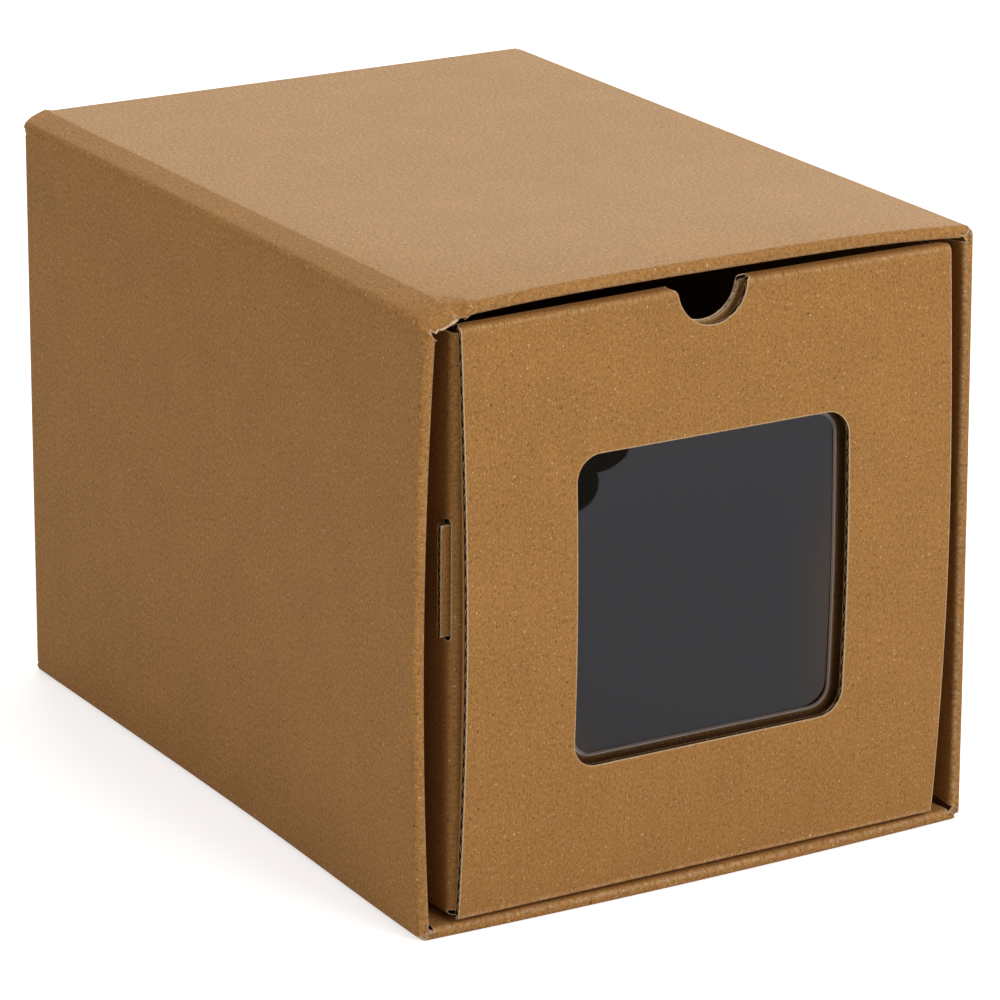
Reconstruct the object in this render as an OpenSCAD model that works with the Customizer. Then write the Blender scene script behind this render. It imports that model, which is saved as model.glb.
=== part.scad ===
// Window storage box: a drawer of folded corrugated board in a sleeve of the same board.
// The origin is at the bottom centre. The front faces -Y, +X is to the right and +Z is up.

/* [Board] */
// Thickness of the corrugated board
board = 2.5; // [1.5:0.1:4]
// Inside radius where the board is folded
fold_r = 1.3; // [0.8:0.1:2]

/* [Sleeve] */
// Width of the sleeve
sleeve_w = 250; // [200:1:400]
// Depth of the sleeve, from the front edges to the back
sleeve_d = 350; // [200:1:500]
// Height of the sleeve
sleeve_h = 254; // [230:1:400]
// Width of the second crease's strip along the top left edge
strip_w = 12; // [8:0.5:20]
// Height that the strip loses towards the left
strip_drop = 5; // [3:0.5:8]
// How far the turned-in front hems run back
hem_depth = 25; // [12:1:40]
// Air between the two layers of a hem
hem_gap = 0.2; // [0.1:0.1:1]
// Length that each hem leaves free at a corner
hem_corner = 1.5; // [0.5:0.1:6]
// How far the short hem of the strip runs back
strip_hem_depth = 6; // [5:0.5:10]
// Slope of the hems' ends
hem_taper = 22; // [5:1:40]
// Length of the glued flaps inside the back
back_flap = 60; // [30:1:80]
// Width of the flap that glues the sleeve into a tube
glue_flap = 32; // [20:1:50]

/* [Drawer] */
// Room between the drawer's side and the sleeve's hem
side_gap = 6; // [3:0.1:12]
// Running clearance under and over the drawer
run_gap = 0.3; // [0.2:0.1:1]
// How far the drawer's front stands before the sleeve
proud = 1.5; // [0:0.1:5]
// Room behind the closed drawer
back_gap = 1; // [0.5:0.1:10]
// How much lower the side walls are than the front
side_drop = 3; // [2.8:0.1:8]
// Cavity between the two layers of the rolled-over walls
cavity = 4; // [3.2:0.1:8]
// Cut clearance between neighbouring panels
cut_gap = 0.5; // [0.3:0.1:1]
// Length of the dust flaps in the rolled-over walls
dust_flap = 38; // [20:1:45]

/* [Lock tabs] */
// Height of a lock tab
tab_h = 45; // [20:1:80]
// Height of a tab's middle above the drawer's underside
tab_rise = 140; // [60:1:180]
// Room between a tab's end and the sleeve's hem
tab_gap = 0.8; // [0.5:0.1:3]
// Room round a tab in its slot, up and down
slot_play = 2; // [0.5:0.1:5]

/* [Window and notch] */
// Width of the window
window_w = 126; // [60:1:130]
// Height of the window
window_h = 128; // [60:1:140]
// Radius of the window's corners
window_r = 10.5; // [4:0.5:20]
// Height of the window's lower edge above the drawer's underside
window_rise = 56; // [30:1:70]
// How much smaller the window of the wall's inner layer is, all round
window_inset = 1.8; // [0:0.1:4]
// Overlap of the film round the window
film_lap = 10; // [4:1:15]
// Thickness of the film
film_t = 0.3; // [0.2:0.05:0.5]
// Radius of the finger notch
notch_r = 16; // [10:0.5:25]
// Radius that eases the notch's two shoulders
shoulder_r = 2.5; // [1:0.5:4]

/* [Hidden] */
$fn = 48;

kraft = [0.64, 0.47, 0.28];
film_grey = [0.24, 0.235, 0.24];
fold_steps = 6;   // Flats that each fold's arc is made of
overlap = 0.5;    // Length by which two runs of one board are joined
crease_mitre = 0.35;    // Slope of the hems' ends at the strip's upper crease
corner_mitre = 0.75;    // Slope of the strip hem's end where it meets the left wall's hem

fold_mid = fold_r + board / 2;    // Radius of a fold at the middle of the board
fold_out = fold_r + board;        // Radius of a fold at its outer face
hem_t = 2 * board + hem_gap;      // Thickness of a front hem
crest_mid = (board + hem_gap) / 2 - 0.01;
crest_out = hem_t / 2;            // Depth of a hem's round crest

front_y = -(sleeve_d - proud) / 2;
back_y = front_y + sleeve_d;
rear_y = back_y - board - fold_out;    // Where the tube ends and the back's folds start
left_h = sleeve_h - strip_drop;        // Height of the left wall

drawer_w = sleeve_w - 2 * (hem_t + side_gap);
drawer_y = front_y - proud;
drawer_d = sleeve_d + proud - 2 * board - back_gap;
drawer_z = hem_t + run_gap;
drawer_top = sleeve_h - hem_t - run_gap;
side_top = drawer_top - side_drop;
panel_w = drawer_w - 2 * cut_gap;      // Width of the rolled-over walls outside
lining_w = drawer_w - 2 * (board + cut_gap);    // Width of their inner layer
wall_t = 2 * board + cavity;           // Thickness of a rolled-over wall
flap_y = board + (cavity - board) / 2;    // Depth of a dust flap's face behind the wall's face
side_y = flap_y + fold_out;            // Where the flat side walls start
window_z = drawer_z + window_rise;
tab_z = drawer_z + tab_rise;

// Direction from one point to another, and the same turned a quarter turn to the left
function heading(a, b) = (b - a) / norm(b - a);
function left(u) = [-u[1], u[0]];
function turned(u, a) = [u[0] * cos(a) - u[1] * sin(a), u[0] * sin(a) + u[1] * cos(a)];
function bend(u, v) = atan2(u[0] * v[1] - u[1] * v[0], u * v);

// Points along the fold at corner b of a path, for a line that lies d to the left of the board's middle
function fold_points(a, b, c, r, d) =
    let(u = heading(a, b), turn = bend(u, heading(b, c)), s = sign(turn))
    let(start = b - u * r * tan(abs(turn) / 2))
    [for (i = [0:fold_steps])
        let(side = left(turned(u, turn * i / fold_steps)))
        start + s * r * left(u) + (d - s * r) * side];

// One face of a board that follows an open path, folded at every inner corner
function face(path, r, d) =
    let(last = len(path) - 1)
    concat(
        [path[0] + d * left(heading(path[0], path[1]))],
        [for (i = [1:last - 1]) each fold_points(path[i - 1], path[i], path[i + 1], r, d)],
        [path[last] + d * left(heading(path[last - 1], path[last]))]
    );

// One face of a board that follows a closed path
function loop_face(path, r, d) =
    let(n = len(path))
    [for (i = [0:n - 1]) each fold_points(path[(i + n - 1) % n], path[i], path[(i + 1) % n], r, d)];

// Section of a folded board whose middle follows a path
module folded(path, r = fold_mid) {
    right_face = face(path, r, -board / 2);
    left_face = face(path, r, board / 2);
    count = len(left_face);
    polygon(concat(right_face, [for (i = [count - 1:-1:0]) left_face[i]]));
}

// Extrusion of an outline in X and Z from y = a to y = b
module along_y(a, b) {
    translate([0, b, 0])
        rotate([90, 0, 0])
            linear_extrude(b - a)
                children();
}

// Extrusion of an outline in Y and Z, centred on x = 0
module along_x(width) {
    translate([-width / 2, 0, 0])
        rotate([90, 0, 90])
            linear_extrude(width)
                children();
}

// Extrusion of an outline in X and Y from z = a to z = b
module along_z(a, b) {
    translate([0, 0, a])
        linear_extrude(b - a)
            children();
}

// Middle of the sleeve's board, round the tube
tube_path = [
    [-sleeve_w / 2 + board / 2, board / 2],
    [sleeve_w / 2 - board / 2, board / 2],
    [sleeve_w / 2 - board / 2, sleeve_h - board / 2],
    [-sleeve_w / 2 + strip_w, sleeve_h - board / 2],
    [-sleeve_w / 2 + board / 2, left_h],
];

module tube_section() {
    difference() {
        polygon(loop_face(tube_path, fold_mid, -board / 2));
        polygon(loop_face(tube_path, fold_mid, board / 2));
    }
}

// A front hem on a wall whose outer face is the plane z = 0, with its middle at x = 0:
// the board turns back over itself in a round crest. Each end is mitred by a slope against
// the next hem, and the turned part's ends slope inward
module hem(length, depth = hem_depth, low_mitre = 1, high_mitre = 1) {
    path = [
        [front_y + crest_out + overlap, board / 2],
        [front_y + board / 2, board / 2],
        [front_y + board / 2, board * 1.5 + hem_gap],
        [front_y + depth, board * 1.5 + hem_gap],
    ];
    slope = (depth - crest_out) * tan(hem_taper);
    top = hem_t + overlap;
    intersection() {
        along_x(length)
            folded(path, crest_mid);
        along_z(-overlap, top)
            polygon([
                [-length / 2, front_y - 1],
                [length / 2, front_y - 1],
                [length / 2, front_y + crest_out + overlap],
                [length / 2 - slope, front_y + depth + 1],
                [-length / 2 + slope, front_y + depth + 1],
                [-length / 2, front_y + crest_out + overlap],
            ]);
        along_y(front_y - 1, front_y + depth + 1)
            polygon([
                [-length / 2 - low_mitre * overlap, -overlap],
                [length / 2 + high_mitre * overlap, -overlap],
                [length / 2 - high_mitre * top, top],
                [-length / 2 + low_mitre * top, top],
            ]);
    }
}

// The strip between the two creases has a short hem of its own
module strip_hem() {
    run = strip_w - board / 2;
    rise = sleeve_h - board / 2 - left_h;
    translate([-sleeve_w / 2 + (strip_w + board / 2) / 2, 0, left_h + rise / 2])
        rotate([0, 180 - atan2(rise, run), 0])
            translate([0, 0, -board / 2])
                hem(norm([run, rise]) - overlap, strip_hem_depth, crease_mitre, corner_mitre);
}

module hems() {
    top_length = sleeve_w - strip_w - hem_corner;
    left_length = left_h - 2 * hem_corner;
    right_length = sleeve_h - 2 * hem_corner;
    hem(sleeve_w - 2 * hem_corner);
    translate([(strip_w - hem_corner) / 2, 0, sleeve_h])
        rotate([0, 180, 0])
            hem(top_length, hem_depth, 1, crease_mitre);
    strip_hem();
    translate([-sleeve_w / 2, 0, left_h / 2])
        rotate([0, 90, 0])
            hem(left_length);
    translate([sleeve_w / 2, 0, sleeve_h / 2])
        rotate([0, -90, 0])
            hem(right_length);
}

// The tube's corner folds run on to the back panel, between the flaps
module corner_ends() {
    along_y(rear_y, back_y - board)
        difference() {
            tube_section();
            translate([-sleeve_w / 2 + strip_w, -1])
                square([sleeve_w - strip_w - fold_out, sleeve_h + 2]);
            translate([-sleeve_w / 2 - 1, fold_out])
                square([sleeve_w + 2, left_h - 2 * fold_out]);
        }
}

// A flap folded in from a side wall at the back, with its lower edge mitred against the bottom flap
module back_side_flap(wall_h) {
    path = [
        [-sleeve_w / 2 + board / 2, rear_y - overlap],
        [-sleeve_w / 2 + board / 2, back_y - board * 1.5],
        [-sleeve_w / 2 + back_flap, back_y - board * 1.5],
    ];
    low = fold_out + 2 * cut_gap;
    high = wall_h - fold_out - 2 * cut_gap;
    intersection() {
        along_z(low, high)
            folded(path);
        along_y(rear_y - 1, back_y)
            polygon([
                [-sleeve_w / 2, low],
                [-sleeve_w / 2 + fold_out, low],
                [-sleeve_w / 2 + back_flap, low + back_flap - fold_out],
                [-sleeve_w / 2 + back_flap, high - fold_out],
                [-sleeve_w / 2 + fold_out, high],
                [-sleeve_w / 2, high],
            ]);
    }
}

// The flap folded up from the bottom at the back, mitred against the side flaps
module back_bottom_flap() {
    path = [
        [rear_y - overlap, board / 2],
        [back_y - board * 1.5, board / 2],
        [back_y - board * 1.5, back_flap * 0.6],
    ];
    half = sleeve_w / 2 - fold_out;
    intersection() {
        along_x(2 * half)
            folded(path);
        along_y(rear_y - 1, back_y)
            polygon([
                [-half, 0],
                [half, 0],
                [half, board],
                [half - back_flap, board + back_flap],
                [back_flap - half, board + back_flap],
                [-half, board],
            ]);
    }
}

// The back panel hangs from the top wall and is glued over the three flaps
module back_panel() {
    path = [
        [rear_y - overlap, sleeve_h - board / 2],
        [back_y - board / 2, sleeve_h - board / 2],
        [back_y - board / 2, sleeve_h - 2 * fold_out],
    ];
    top_w = sleeve_w - strip_w - fold_out;
    translate([(strip_w - fold_out) / 2, 0, 0])
        along_x(top_w)
            folded(path);
    along_y(back_y - board, back_y)
        intersection() {
            polygon(loop_face(tube_path, fold_mid, cut_gap - board / 2));
            translate([-sleeve_w / 2, 0])
                square([sleeve_w, sleeve_h - fold_out]);
        }
}

// The flap that joins the blank into a tube is glued inside the left wall
module tube_glue_flap() {
    translate([-sleeve_w / 2 + board, front_y + hem_depth + 2 * cut_gap, left_h - fold_out - glue_flap])
        cube([board, sleeve_d - hem_depth - 2 * board - fold_out - 4 * cut_gap, glue_flap]);
}

module sleeve() {
    color(kraft) {
        along_y(front_y + crest_out, rear_y)
            tube_section();
        hems();
        corner_ends();
        back_side_flap(left_h);
        mirror([1, 0, 0])
            back_side_flap(sleeve_h);
        back_bottom_flap();
        back_panel();
        tube_glue_flap();
    }
}

// Half round notch with eased shoulders, centred on the middle of the wall's top edge
module notch_outline() {
    reach = sqrt(pow(notch_r + shoulder_r, 2) - pow(shoulder_r, 2));
    depth = shoulder_r * (1 - shoulder_r / (notch_r + shoulder_r));
    circle(r = notch_r);
    difference() {
        translate([-reach, -depth])
            square([2 * reach, depth + 1]);
        for (s = [-1, 1])
            translate([s * reach, -shoulder_r])
                circle(r = shoulder_r);
    }
}

// Window with rounded corners, smaller by the inset all round
module window_outline(inset = 0) {
    wide = window_w - 2 * inset;
    high = window_h - 2 * inset;
    round_r = window_r - inset;
    translate([0, window_z + window_h / 2]) {
        square([wide - 2 * round_r, high], center = true);
        square([wide, high - 2 * round_r], center = true);
        for (sx = [-1, 1], sz = [-1, 1])
            translate([sx * (wide / 2 - round_r), sz * (high / 2 - round_r)])
                circle(r = round_r);
    }
}

// A wall that rises from the bottom, rolls over at the top and comes down again inside,
// with the two lock tabs on its inner layer
module rolled_wall() {
    lining_y = board * 1.5 + cavity;
    path = [
        [fold_out + overlap, drawer_z + board / 2],
        [board / 2, drawer_z + board / 2],
        [board / 2, drawer_top - board / 2],
        [lining_y, drawer_top - board / 2],
        [lining_y, drawer_z + board + cut_gap],
    ];
    trim = panel_w - lining_w + 2;
    difference() {
        along_x(panel_w)
            folded(path);
        for (s = [-1, 1])
            translate([s * (lining_w + trim) / 2, board + cavity / 2, drawer_z + board + cut_gap])
                translate([-trim / 2, 0, 0])
                    cube([trim, wall_t, side_top - drawer_z - board]);
    }
    tab_reach = drawer_w / 2 + side_gap - tab_gap;
    for (s = [-1, 1])
        translate([s > 0 ? lining_w / 2 - overlap : -tab_reach, board + cavity, tab_z - tab_h / 2])
            cube([tab_reach - lining_w / 2 + overlap, board, tab_h]);
}

// A dust flap folded in from the left side wall, between the two layers of the front wall
module left_dust_flap() {
    path = [
        [-drawer_w / 2 + board / 2, side_y + overlap],
        [-drawer_w / 2 + board / 2, flap_y + board / 2],
        [-drawer_w / 2 + dust_flap, flap_y + board / 2],
    ];
    low = drawer_z + board + 2 * cut_gap;
    intersection() {
        along_z(low, side_top)
            folded(path);
        along_y(0, side_y + 1)
            polygon([
                [-drawer_w / 2, low],
                [-drawer_w / 2 + fold_out, low],
                [-drawer_w / 2 + dust_flap, low + fold_out],
                [-drawer_w / 2 + dust_flap, side_top - 2 * fold_out],
                [-drawer_w / 2 + fold_out, side_top],
                [-drawer_w / 2, side_top],
            ]);
    }
}

// Bottom and side walls, between the rolled-over walls
module tray() {
    path = [
        [-drawer_w / 2 + board / 2, side_top],
        [-drawer_w / 2 + board / 2, drawer_z + board / 2],
        [drawer_w / 2 - board / 2, drawer_z + board / 2],
        [drawer_w / 2 - board / 2, side_top],
    ];
    along_y(side_y, drawer_d - side_y)
        folded(path);
    translate([fold_out - drawer_w / 2, fold_out, drawer_z])
        cube([drawer_w - 2 * fold_out, drawer_d - 2 * fold_out, board]);
}

// Slot in the left side wall that the front wall's lock tab goes through
module tab_slot() {
    slot_h = tab_h + 2 * slot_play;
    translate([-drawer_w / 2 - 1, board + cavity - cut_gap, tab_z - slot_h / 2])
        cube([board + cut_gap + 1, board + 2 * cut_gap, slot_h]);
}

// The drawer's back is its front turned round, and its right side is its left one mirrored
module at_both_ends() {
    for (s = [0, 1])
        translate([0, s * drawer_d, 0])
            mirror([0, s, 0])
                children();
}

module on_both_sides() {
    for (s = [0, 1])
        mirror([s, 0, 0])
            children();
}

module drawer() {
    color(kraft)
        translate([0, drawer_y, 0]) {
            difference() {
                rolled_wall();
                along_y(-1, board + cavity / 2)
                    window_outline();
                along_y(board, wall_t + 1)
                    window_outline(window_inset);
                along_y(-1, wall_t + 1)
                    translate([0, drawer_top])
                        notch_outline();
            }
            translate([0, drawer_d, 0])
                mirror([0, 1, 0])
                    rolled_wall();
            difference() {
                union() {
                    tray();
                    at_both_ends()
                        on_both_sides()
                            left_dust_flap();
                }
                at_both_ends()
                    on_both_sides()
                        tab_slot();
            }
        }
}

// The film is glued to the front of the wall's inner layer, round its window
module window_film() {
    color(film_grey)
        translate([-window_w / 2 - film_lap, drawer_y + board + cavity - film_t, window_z - film_lap])
            cube([window_w + 2 * film_lap, film_t, window_h + 2 * film_lap]);
}

sleeve();
drawer();
window_film();
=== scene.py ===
"""Looks of the window storage box: a drawer of folded kraft board in a sleeve of the same board."""

import bmesh
import bpy
import numpy as np
from mathutils import Matrix


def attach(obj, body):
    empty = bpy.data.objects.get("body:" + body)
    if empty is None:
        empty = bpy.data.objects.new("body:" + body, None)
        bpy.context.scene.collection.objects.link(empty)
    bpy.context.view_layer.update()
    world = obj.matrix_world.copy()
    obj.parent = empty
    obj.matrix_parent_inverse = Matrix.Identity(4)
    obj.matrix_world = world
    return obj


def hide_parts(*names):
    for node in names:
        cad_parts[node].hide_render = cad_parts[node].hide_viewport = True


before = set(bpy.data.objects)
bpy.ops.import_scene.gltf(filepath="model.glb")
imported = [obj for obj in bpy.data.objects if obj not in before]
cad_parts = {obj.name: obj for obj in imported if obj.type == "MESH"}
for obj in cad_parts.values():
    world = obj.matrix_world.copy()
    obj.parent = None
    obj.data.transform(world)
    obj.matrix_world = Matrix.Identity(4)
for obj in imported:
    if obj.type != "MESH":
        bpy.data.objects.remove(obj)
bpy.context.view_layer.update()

# ---------------------------------------------------------------------------------------------
# Sleeve: one blank of kraft corrugated board, creased into a square tube along its flutes. Each
# wall's front edge is turned back over itself as a hem, and the back panel hangs from the top.
# All of it is cut from flat sheets and laid along their folds, in millimetres.
# ---------------------------------------------------------------------------------------------
BOARD = 2.5           # thickness of the corrugated board
LINER = 0.42          # thickness of each of its two liners
FLUTE = 6.5           # distance from one flute to the next
FOLD = 2.55           # radius of a fold at the middle of the board
WIDE, HIGH = 250.0, 254.0
FRONT, BACK = -174.25, 175.75
LEFT_HIGH, STRIP = 249.0, 12.0
HEM_DEEP, HEM_STEP = 25.0, 2.7     # a hem's length, and the distance between its two layers
HEM_THICK = 5.2


def folded_line(corners, radius, steps=8):
    """Middle line of a folded board: straight runs joined by arcs of the fold's radius, or of one
    radius for each fold, each in equal steps of angle. Gives the run to each station, its place,
    and the unit vector to the line's right."""
    c = np.array(corners, float)
    radii = np.broadcast_to(radius, len(c) - 2)
    run = np.diff(c, axis=0)
    run /= np.linalg.norm(run, axis=1)[:, None]
    place, right = [c[0]], [(run[0, 1], -run[0, 0])]
    for i in range(1, len(c) - 1):
        u, w, radius = run[i - 1], run[i], radii[i - 1]
        turn = np.arctan2(u[0] * w[1] - u[1] * w[0], u @ w)
        side = np.sign(turn)
        hub = c[i] - u * radius * np.tan(abs(turn) / 2) + side * radius * np.array([-u[1], u[0]])
        angle = turn * np.linspace(0, 1, steps + 1)
        r = np.stack([u[1] * np.cos(angle) + u[0] * np.sin(angle), u[1] * np.sin(angle) - u[0] * np.cos(angle)], 1)
        place.extend(hub + side * radius * r)
        right.extend(r)
    place.append(c[-1])
    right.append((run[-1, 1], -run[-1, 0]))
    place, right = np.array(place), np.array(right)
    return np.concatenate([[0], np.cumsum(np.linalg.norm(np.diff(place, axis=0), axis=1))]), place, right


def at(line, run):
    """Place and right-hand vector, as four arrays, at each run along a folded line."""
    return [np.interp(run, line[0], column) for column in (*line[1].T, *line[2].T)]


def grid_lines(stations, fine, reach, coarse):
    """Every station, with fine steps beside each one as far as the reach, and coarse steps between."""
    stations = np.unique(np.round(stations, 4))
    parts = [stations]
    for a, b in zip(stations[:-1], stations[1:]):
        half = (b - a) / 2
        near = np.arange(fine, min(reach, half) - fine * 0.4, fine)
        last = near[-1] if len(near) else 0
        middle = np.linspace(a + last, b - last, max(1, int(np.ceil((b - a - 2 * last) / coarse))) + 1)[1:-1]
        parts += [a + near, b - near, middle]
    return np.unique(np.round(np.concatenate(parts), 4))


class Shell:
    """Points, four-cornered faces and finishes of all the sheets of one piece."""

    def __init__(self):
        self.points, self.blank, self.wear, self.faces, self.finish, self.count = [], [], [], [], [], 0

    def add(self, points, blank, faces, finish, wear=None):
        self.points.append(points)
        self.blank.append(blank)
        self.wear.append(np.full((len(points), 3), 9.0) if wear is None else wear)
        self.faces.append(faces + self.count)
        self.finish.append(np.broadcast_to(finish, len(faces)))
        self.count += len(points)


def cut_sheet(shell, across, along, outline, lay, flutes, joined=None, fluted=None, groove=2.4, seed=0.0,
              creases=None, clear=None, pale=None):
    """One sheet of corrugated board, cut to an outline and laid along its folds.

    The sheet is a grid in its flat blank. Cells outside the outline, a distance that is positive
    in the board, are left out, and the rim's points move along its slope on to the outline. lay
    gives the place in space of a point of the blank at a height over the board's middle. The rim
    runs from one liner's edge into a groove and out to the other's, and a wave stands in the
    groove: its height is a sine of the run across the flutes. Where the cut is pale, it is pressed
    shut. The wear and highlight is the distance to the cut edge, except where it is clear, and the
    distance to the nearest crease; the pale line along a crease is partly wear and partly a painted
    highlight."""
    n, m = len(across), len(along)
    p, q = np.meshgrid(across, along, indexing="ij")
    index = np.arange(n * m).reshape(n, m)
    if abs(across[-1] - across[0]) > 900:
        index[-1] = index[0]
    keep = outline((p[:-1, :-1] + p[1:, 1:]) / 2, (q[:-1, :-1] + q[1:, 1:]) / 2) > 0
    quads = np.stack([index[:-1, :-1], index[1:, :-1], index[1:, 1:], index[:-1, 1:]], 2)[keep]
    edges = np.concatenate([quads[:, [0, 1]], quads[:, [1, 2]], quads[:, [2, 3]], quads[:, [3, 0]]])
    key = edges.min(1) * n * m + edges.max(1)
    found, back, times = np.unique(key, return_inverse=True, return_counts=True)
    rim = edges[times[back.ravel()] == 1]
    p, q = p.ravel().copy(), q.ravel().copy()

    def slope(x, y, h=0.02):
        gx = (outline(x + h, y) - outline(x - h, y)) / (2 * h)
        gy = (outline(x, y + h) - outline(x, y - h)) / (2 * h)
        size = np.maximum(np.hypot(gx, gy), 1e-6)
        return gx / size, gy / size

    edge = np.unique(rim)
    for _ in range(3):
        gx, gy = slope(p[edge], q[edge])
        gap = np.clip(outline(p[edge], q[edge]), -3, 3)
        p[edge] -= gap * gx
        q[edge] -= gap * gy
    used = np.unique(quads)
    new = np.full(n * m, -1)
    new[used] = np.arange(len(used))
    quads, rim, p, q = new[quads], new[rim], p[used], q[used]
    h = BOARD / 2
    outer, inner = lay(p, q, h), lay(p, q, -h)
    a, b, c, d = outer[quads[0]]
    up = (outer[quads[0]] - inner[quads[0]]).mean(0)
    turned = np.dot(np.cross(b - a, d - a), up) < 0
    flip = (lambda f: f[:, ::-1]) if turned else (lambda f: f)
    total = len(p)
    flat = lambda x, y, z: np.stack([x + y - flutes(x, y), flutes(x, y) + 0 * x, np.full(len(x), z) + seed], 1)
    near = np.clip(outline(p, q), 0, 9)
    if clear is not None:
        near = np.where(clear(p, q), 9.0, near)
    wear = np.stack([near, np.full(total, 9.0) if creases is None else np.clip(creases(p, q), 0, 9), 0 * near], 1)
    shell.add(outer, flat(p, q, 0.0), flip(quads), 0, wear)
    base_outer = shell.count - total
    shell.add(inner, flat(p, q, 400.0), flip(quads[:, ::-1]), 0, wear)
    base_inner = shell.count - total
    if joined is not None:
        mid = joined((p[rim[:, 0]] + p[rim[:, 1]]) / 2, (q[rim[:, 0]] + q[rim[:, 1]]) / 2)
        rim = rim[~mid]
    if not len(rim):
        return
    edge = np.unique(rim)
    place = np.full(total, -1)
    place[edge] = np.arange(len(edge))
    gx, gy = slope(p[edge], q[edge])
    rings, profile = [edge + base_outer], [(0, h - LINER), (groove, h - LINER), (groove, 0.28 - h), (0, 0.28 - h)]
    shallow = np.ones(len(edge)) if pale is None else np.where(pale(p[edge], q[edge]), 0.12, 1)
    for inset, height in profile:
        x, y = p[edge] + inset * shallow * gx, q[edge] + inset * shallow * gy
        rings.append(np.arange(len(edge)) + shell.count)
        shell.add(lay(x, y, height), flat(x, y, 200.0), np.empty((0, 4), int), 1)
    rings.append(edge + base_inner)
    r0, r1 = place[rim[:, 0]], place[rim[:, 1]]
    shut = np.zeros(len(rim), bool) if pale is None else pale(*[(c[rim[:, 0]] + c[rim[:, 1]]) / 2 for c in (p, q)])
    # Pale liner's cut edge, then the groove's walls and floor in the near black third finish: painted shade in the
    # flutes
    for i, finish in enumerate((1, 2, 2, 2, 0)):
        faces = np.stack([rings[i][r1], rings[i][r0], rings[i + 1][r0], rings[i + 1][r1]], 1)
        shell.faces.append(flip(faces))
        shell.finish.append(np.where(shut, 1, finish))
    if fluted is not None:
        mid = fluted((p[rim[:, 0]] + p[rim[:, 1]]) / 2, (q[rim[:, 0]] + q[rim[:, 1]]) / 2)
        rim, r0, r1 = rim[mid], r0[mid], r1[mid]
    if not len(rim):
        return
    size = np.hypot(p[rim[:, 0]] - p[rim[:, 1]], q[rim[:, 0]] - q[rim[:, 1]])
    steps = int(np.clip(np.ceil(np.percentile(size, 90) / 0.55), 1, 12))
    t = np.linspace(0, 1, steps + 1)
    mix = lambda v, w: (v[:, None] * (1 - t) + w[:, None] * t)
    x, y = mix(p[rim[:, 0]], p[rim[:, 1]]), mix(q[rim[:, 0]], q[rim[:, 1]])
    sx, sy = mix(gx[r0], gx[r1]), mix(gy[r0], gy[r1])
    wave = (h - LINER - 0.1) * np.sin(2 * np.pi * flutes(x, y) / FLUTE)
    loop = []
    for inset, height in ((0.2, 0.11), (0.2, -0.11), (groove, -0.11), (groove, 0.11)):
        xs, ys = (x + inset * sx).ravel(), (y + inset * sy).ravel()
        loop.append(np.arange(len(xs)).reshape(x.shape) + shell.count)
        shell.add(lay(xs, ys, (wave + height).ravel()), flat(xs, ys, 200.0), np.empty((0, 4), int), 1)
    # The medium's cut edge is pale, and its sides take the near black third finish: painted shade in the flutes
    for i, finish in enumerate((1, 2, 2, 2)):
        f, g = loop[i], loop[(i + 1) % 4]
        faces = np.stack([f[:, 1:], f[:, :-1], g[:, :-1], g[:, 1:]], 2).reshape(-1, 4)
        shell.faces.append(flip(faces))
        shell.finish.append(np.full(len(faces), finish))


def make_piece(name, shell, materials, warp):
    """The shell as one object in metres at the origin, bent by warp, with sharp cut edges and the
    place in the flat blank kept for the finish."""
    points = warp(np.concatenate(shell.points)) / 1000
    faces, finish = np.concatenate(shell.faces), np.concatenate(shell.finish)
    mesh = bpy.data.meshes.new(name)
    mesh.vertices.add(len(points))
    mesh.vertices.foreach_set("co", points.astype(np.float32).ravel())
    mesh.loops.add(faces.size)
    mesh.loops.foreach_set("vertex_index", faces.astype(np.int32).ravel())
    mesh.polygons.add(len(faces))
    mesh.polygons.foreach_set("loop_start", np.arange(0, faces.size, 4, dtype=np.int32))
    mesh.polygons.foreach_set("material_index", finish.astype(np.int32))
    for material in materials:
        mesh.materials.append(material)
    mesh.update(calc_edges=True)
    blank = mesh.attributes.new("blank", "FLOAT_VECTOR", "POINT")
    blank.data.foreach_set("vector", np.concatenate(shell.blank).astype(np.float32).ravel())
    wear = mesh.attributes.new("wear", "FLOAT_VECTOR", "POINT")
    wear.data.foreach_set("vector", np.concatenate(shell.wear).astype(np.float32).ravel())
    tidy = bmesh.new()
    tidy.from_mesh(mesh)
    bmesh.ops.remove_doubles(tidy, verts=tidy.verts, dist=2e-6)
    bmesh.ops.dissolve_degenerate(tidy, edges=tidy.edges, dist=1e-6)
    tidy.to_mesh(mesh)
    tidy.free()
    mesh.polygons.foreach_set("use_smooth", np.ones(len(mesh.polygons), bool))
    mesh.set_sharp_from_angle(angle=np.radians(32))
    piece = bpy.data.objects.new(name, mesh)
    bpy.context.scene.collection.objects.link(piece)
    return piece


half = WIDE / 2 - BOARD / 2
top_z = HIGH - BOARD / 2
tube = folded_line(
    [(0, BOARD / 2), (half, BOARD / 2), (half, top_z), (STRIP - WIDE / 2, top_z), (-half, LEFT_HIGH),
     (-half, BOARD / 2), (0, BOARD / 2)], FOLD)
arcs = [slice(1 + 9 * i, 10 + 9 * i) for i in range(5)]
corner = [tube[0][a].mean() for a in arcs]          # right low, right high, strip, left high, left low
hem_line = [(FRONT + HEM_DEEP, HEM_STEP), (FRONT + BOARD / 2, HEM_STEP), (FRONT + BOARD / 2, 0)]
wall_line = folded_line(hem_line + [(BACK - 1.5 * BOARD, 0), (BACK - 1.5 * BOARD, 56)], 1.34, 8)
top_line = folded_line(hem_line + [(BACK + 20, 0)], 1.34, 8)
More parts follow.
